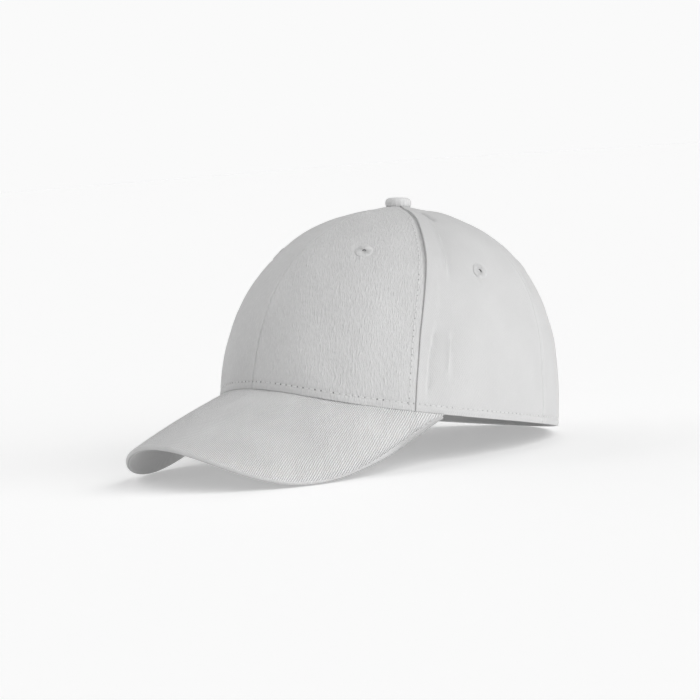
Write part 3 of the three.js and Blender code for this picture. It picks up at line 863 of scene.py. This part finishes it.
def line_above_rim(form, height):
    """The line on a panel's face at a height above the rim: its angles, points and outward directions."""
    columns = range(form["phi"].shape[1])
    places = [form[which][..., axis] for which in ("surface", "normal") for axis in range(3)]
    found = np.array([
        [np.interp(height, form["above"][:, c], value[:, c]) for c in columns]
        for value in [form["phi"], *places]])
    return found[0], found[1:4].T, found[4:].T


rim_threads = []
for form in panels.values():
    phi, points, outwards = line_above_rim(form, RIM_ROW)
    along = np.interp(phi, rim_angles, rim_row_length)
    rim_threads.append(row_of_stitches(along, points, outwards, along[0] + 0.4, along[-1] - 0.4))
threads("rim_stitches", *[np.concatenate(parts) for parts in zip(*rim_threads)])

for hand in ("left", "right"):
    form = panels["front_panel_" + hand]
    points, outwards = line_beside(form, to_side_seam(form), SEAM_ROW)
    along = running_length(points)
    last = along[form["width"][:, 0] > NARROWEST_SEWN][-1]
    threads("side_seam_stitches_" + hand, *row_of_stitches(along, points, outwards, RIM_ROW + 1, last))

for side, hand, top in ((1, "left", 0.9), (-1, "right", 1.0)):
    up = np.linspace(0.01, top, 90)
    down = down_at(up * slit_length + SLIT_START)
    width = binding_width(side, up)
    phi = back_angle(side * (opening(side, up) + np.maximum(width - BINDING_ROW, 0.5 * width)), down)
    points = crown_point(phi, down)
    outwards = crown_normal(phi, down)
    points = points + outwards * (SLACK_DEPTH * slack(points) + BINDING_PROUD)[:, None]
    along = running_length(points)
    threads("binding_stitches_" + hand, *row_of_stitches(along, points, outwards, 1, along[-1]))

heights = SLIT_START - 1 + np.linspace(-0.5, 0.5, BAR_THREADS) * BAR_HEIGHT
bar_down = down_at(heights)
bar_angles = [back_angle(np.array(x), bar_down) for x in (-BAR_WIDTH / 2, BAR_WIDTH / 2, 0)]
bar_ends = [crown_point(phi, bar_down) for phi in bar_angles]
bar_out = crown_normal(bar_angles[2], bar_down)
bar_lift = [bar_out * (SLACK_DEPTH * slack(end) + BINDING_PROUD + 0.15)[:, None] for end in bar_ends]
threads("slit_foot_bar_stitches", bar_ends[0] + bar_lift[0], bar_ends[1] + bar_lift[1], bar_out)


# Eyelets: six small vent holes, one in each panel, each worked round with satin thread that goes through
# both faces of the cloth and holds its cut edge. Inside the hole the thread lies in shade.
EYELET_WIDTH, EYELET_HOLE, EYELET_BACK = 9.0, 1.8, 6.4
EYELET_THREADS, EYELET_SHADE = 34, (0.66, 0.66, 0.66, 1)
eyelet_material, eyelet_finish, eyelet_shader = start_material("eyelet_thread")
height_in_hole = eyelet_finish.node("ShaderNodeUVMap", {"uv_map": "cloth"}).parts()[1] / MM
shadow = height_in_hole.ramp(-0.1, 0.13, 0.02, 1.0)
eyelet_colour = eyelet_finish.node(
    "ShaderNodeMix", {"data_type": "RGBA"}, {0: shadow, 6: (0, 0, 0, 1), 7: EYELET_SHADE}, 2)
eyelet_finish.tree.links.new(eyelet_colour.socket, eyelet_shader.inputs["Base Color"])
eyelet_shader.inputs["Roughness"].default_value = 0.65
eyelet_shader.inputs["Sheen Weight"].default_value = 0.2


def on_cloth(phi, down, offsets):
    """Places beside a spot on the crown: offsets are to the left, up and out, in millimetres."""
    step = 0.001
    across = np.linalg.norm(crown_point(phi + step, down) - crown_point(phi - step, down)) / (2 * step)
    rise = np.linalg.norm(crown_point(phi, down + step) - crown_point(phi, down - step)) / (2 * step)
    phis, downs = phi + offsets[..., 0] / across, down - offsets[..., 1] / rise
    points = crown_point(phis, downs)
    height = offsets[..., 2] + SLACK_DEPTH * slack(points)
    return points + crown_normal(phis, downs) * height[..., None]


# The ring's section from its outer edge over the cloth, down the hole and out behind: the distance from the
# middle and the height over the cloth, and how far its threads stand out at each place.
outer, hole, back = EYELET_WIDTH / 2, EYELET_HOLE / 2, EYELET_BACK / 2
reach, rise = np.array([
    (outer, -0.45), (outer - 0.05, -0.1), (outer - 0.5, 0.16), (outer - 1.3, 0.26), (outer - 2.2, 0.26),
    (hole + 0.5, 0.24), (hole + 0.15, 0.14), (hole, -0.1), (hole, -1.5), (hole + 0.3, -1.95),
    (hole + 1, -2.15), (back - 0.3, -2.0), (back, -1.7), (back, -1.2)]).T[..., None]
relief = np.array([0, 0.1, 0.13, 0.13, 0.12, 0.1, 0.07, 0.05, 0.05, 0.06, 0.07, 0.06, 0.04, 0])[:, None]
around = np.linspace(0, 2 * pi, EYELET_THREADS * 2 + 1)
ridge = np.where(np.arange(len(around)) % 2 == 0, 1, -1)

for where, (phi, down) in EYELETS.items():
    for side, hand in ((1, "left"), (-1, "right")):
        draws = np.random.default_rng(31 + int(1000 * phi) + side)
        uneven = np.repeat(draws.normal(0, 0.3, EYELET_THREADS + 1), 2)[:len(around)]
        uneven[-1] = uneven[0]
        radius = reach + 0.12 * uneven * (reach > 4)
        height = rise + relief * (ridge + 0.6 * uneven) * np.sign(rise + 1)
        offsets = np.stack([radius * np.cos(around), radius * np.sin(around), height], -1)
        ring = on_cloth(side * phi, down, offsets)
        inner_height = np.where(radius < hole + 1.1, rise, 1)
        ring_map = np.stack([0 * inner_height + around, inner_height], -1)
        piece = cloth_piece("eyelet_%s_%s_ring" % (where, hand), ring, {"cloth": ring_map * MM})
        close_up(piece)
        piece.data.materials.append(eyelet_material)
        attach(piece, "root")
        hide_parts("eyelet_%s_%s" % (where, hand))


# Brim: a stiff curved board covered in the twill above and below, with a soft rounded edge. The cloth is
# turned up inside the crown, where the rim's seam holds it.
BRIM_END, BRIM_REACH, BRIM_DROP, BRIM_ARCH = radians(69), 63, 25, 32
BRIM_CORNER, BRIM_SWEEP, BRIM_CROWN, BRIM_TURN = 0.725, 2.36, 1.5, radians(89.6)
BRIM_THICK, BRIM_END_THICK = 2.8, 1.7
BRIM_TUCK, BRIM_TURN_UP = 1.3, 1.6
# Painted light: the brim's twill is lighter than the same twill on the crown, to brighten the brim.
BRIM_SHADE = (0.85, 0.85, 0.85)
brim_twill = twill_cloth("brim_twill", BRIM_SHADE, 0.82, radians(14), 0.1, 5.5, yarn_share=1.4, edge=True)


def brim_point(turn, share):
    """The brim's top: share is 0 at the crown's rim and 1 at the brim's edge, and turn is 0 at its middle
    and a quarter turn at its ends."""
    turn, share = np.broadcast_arrays(turn, share)
    end = rim_point(BRIM_END)
    c, s = np.maximum(np.cos(turn), 0), np.sin(turn)
    inner = rim_point(s * BRIM_END)
    y = end[1] - (RIM_FRONT_LENGTH + end[1] + BRIM_REACH) * c**BRIM_CORNER
    z = -BRIM_DROP - BRIM_ARCH * s * s + (end[2] + BRIM_DROP + BRIM_ARCH) * (1 - c) ** BRIM_SWEEP
    outer = np.stack([end[0] * s, y, z], -1)
    point = inner + (outer - inner) * share[..., None]
    point[..., 2] += BRIM_CROWN * 4 * share * (1 - share) * c**2 - 0.05 - 0.25 * smooth(share, 0, 0.3)
    return point


def brim_normal(turn, share):
    at = np.clip(turn, 0.12 - pi / 2, pi / 2 - 0.12)
    low = np.clip(share, 0.06, 0.99)
    along = brim_point(at + 0.01, low) - brim_point(at - 0.01, low)
    out = brim_point(at, low + 0.01) - brim_point(at, low - 0.01)
    return unit(np.cross(out, along))


turns = np.linspace(-BRIM_TURN, BRIM_TURN, 241)[:, None]
depth_of_brim = np.linalg.norm(brim_point(turns, 1.0) - brim_point(turns, 0.0), axis=-1)
full = smooth(np.cos(turns), 0, 0.35)
thick = BRIM_END_THICK + (BRIM_THICK - BRIM_END_THICK) * full
rounding = np.minimum(thick / 2, 0.45 * depth_of_brim)
arc = np.linspace(0, pi, 13)[1:-1]
near_rim, near_edge = [0, 0.004, 0.01, 0.02], [0.95, 0.965, 0.98, 0.99, 1]
flat_shares = np.concatenate([near_rim, np.linspace(0.035, 0.93, 40), near_edge])
top = (depth_of_brim - rounding) * flat_shares
off = np.concatenate([top, depth_of_brim - rounding + rounding * np.sin(arc), top[:, ::-1]], 1)
fall = np.concatenate([0 * top, thick / 2 * (1 - np.cos(arc)), thick + 0 * top], 1)
share = off / np.maximum(depth_of_brim, 1e-6)
points = brim_point(turns, share) - brim_normal(turns, share) * fall[..., None]
outwards = crown_normal(np.sin(turns[:, 0]) * BRIM_END, 1.0) * (1, 1, 0)
inwards = -unit(outwards)[:, None] * BRIM_TUCK
turned_up = points[:, :1] + inwards + np.array([0, 0, BRIM_TURN_UP])
tuck, tuck_low = points[:, :1] + inwards, points[:, -1:] + inwards
points = np.concatenate([turned_up, tuck, points, tuck_low, turned_up], 1)

# The cloth's map lies level over the top and runs on round the edge and underneath.
last_top = 1 + len(flat_shares)
past_edge = running_length(points)
past_edge -= past_edge[:, last_top:last_top + 1]
level = points[..., :2]
at_edge = level[:, last_top:last_top + 1]
beyond = unit(at_edge - level[:, last_top - 9:last_top - 8]) * past_edge[..., None]
brim_map = np.where(past_edge[..., None] > 0, at_edge + beyond, level)
edge_map = np.stack([0 * past_edge, past_edge], -1)
piece = cloth_piece("brim_cover", points, {"cloth": brim_map * MM, "edge": edge_map * MM})
close_up(piece)
piece.data.materials.append(brim_twill)
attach(piece, "root")
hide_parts("brim")


# Sweatband: a folded band of soft cotton, sewn round the inside of the rim by the row of stitches above it.
# It is higher over the forehead and the ears than at the back.
BAND_FRONT, BAND_BACK, BAND_THICK, BAND_FOOT, BAND_DEPTH = 28, 13.5, 1.2, 0.8, 1.5
BAND_SHADE = (0.67, 0.67, 0.67)
band_cotton = twill_cloth("sweatband_cotton", BAND_SHADE, 0.6, radians(45), 0.05)

phi = np.linspace(-pi, pi, 421)[:, None]
tall = BAND_BACK + (BAND_FRONT - BAND_BACK) * smooth(np.cos(phi), -1, -0.6)
shares = np.concatenate([[0.0], np.linspace(0.03, 0.97, 18), [1.0]])
arc = np.linspace(0, pi, 7)[1:-1]
face = BAND_FOOT + tall * shares
rounding = BAND_THICK / 2 * np.sin(arc) + 0 * tall
top, foot = BAND_FOOT + tall + rounding, BAND_FOOT - rounding
height = np.concatenate([face, top, face[:, ::-1], foot, face[:, :1]], 1)
level, turn = 0 * face, np.cos(arc) + 0 * tall
through = np.concatenate([level - 1, -turn, level + 1, turn, level[:, :1] - 1], 1)
depth = BAND_DEPTH + BAND_THICK / 2 * (1 + through)
angle = phi + 0 * height
down = 2 / pi * np.arccos(np.clip(height / CROWN_HEIGHT, 0, 1) ** (roundness(angle) / 2))
points = crown_point(angle, down)
points = points - crown_normal(angle, down) * depth[..., None]
around = running_length(points.swapaxes(0, 1)).T
piece = cloth_piece("sweatband_cotton_band", points, {"cloth": np.stack([around, height], -1) * MM})
close_up(piece)
piece.data.materials.append(band_cotton)
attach(piece, "root")
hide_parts("sweatband")


# Top button: a domed metal disc covered in the twill, which is gathered under its edge. A rivet through the
# tips of the six panels holds it on the crown.
BUTTON_WIDTH, BUTTON_TIP, BUTTON_GATHERS = 14.0, 0.0751, 18
# Painted light: the button's twill is lighter than the same twill on the crown, to brighten the button.
BUTTON_SHADE = (0.77, 0.77, 0.77)
button_twill = twill_cloth("button_twill", BUTTON_SHADE, 0.8, radians(35), 0.1)

# The section from the middle of the top out to the edge, in to the rivet and over the rivet's head.
outer = BUTTON_WIDTH / 2
reach, rise = np.array([
    (0.02, 5.35), (1, 5.34), (2.2, 5.3), (3.4, 5.24), (outer - 2.5, 5.15), (outer - 1.7, 5.0),
    (outer - 1, 4.7), (outer - 0.5, 4.25), (outer - 0.15, 3.6), (outer, 2.9), (outer, 2.0),
    (outer - 0.1, 1.2), (outer - 0.3, 0.6), (outer - 0.8, 0.1), (outer - 2, -0.1), (1.5, -0.1),
    (1.5, -2.2), (5.5, -2.4), (5.45, -3.2), (4.9, -3.5), (2.5, -3.6), (0.02, -3.6)]).T[..., None]
around = np.linspace(0, 2 * pi, 73)
gather = np.where(rise > -0.05, np.clip((4.4 - rise) / 3, 0, 1), 0)
radius = reach * (1 + 0.018 * gather * np.sin(around * BUTTON_GATHERS))
tip_across, tip_up = cos(BUTTON_TIP), sin(BUTTON_TIP)
x, y, z = radius * np.cos(around), radius * np.sin(around), rise + 0 * around
points = np.stack([x, y * tip_across - z * tip_up, y * tip_up + z * tip_across], -1)
points = points + (0, -TOP_FORWARD, CROWN_HEIGHT)
piece = cloth_piece("top_button_cover", points, {"cloth": np.stack([x, y], -1) * MM})
close_up(piece)
piece.data.materials.append(button_twill)
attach(piece, "root")
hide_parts("top_button")
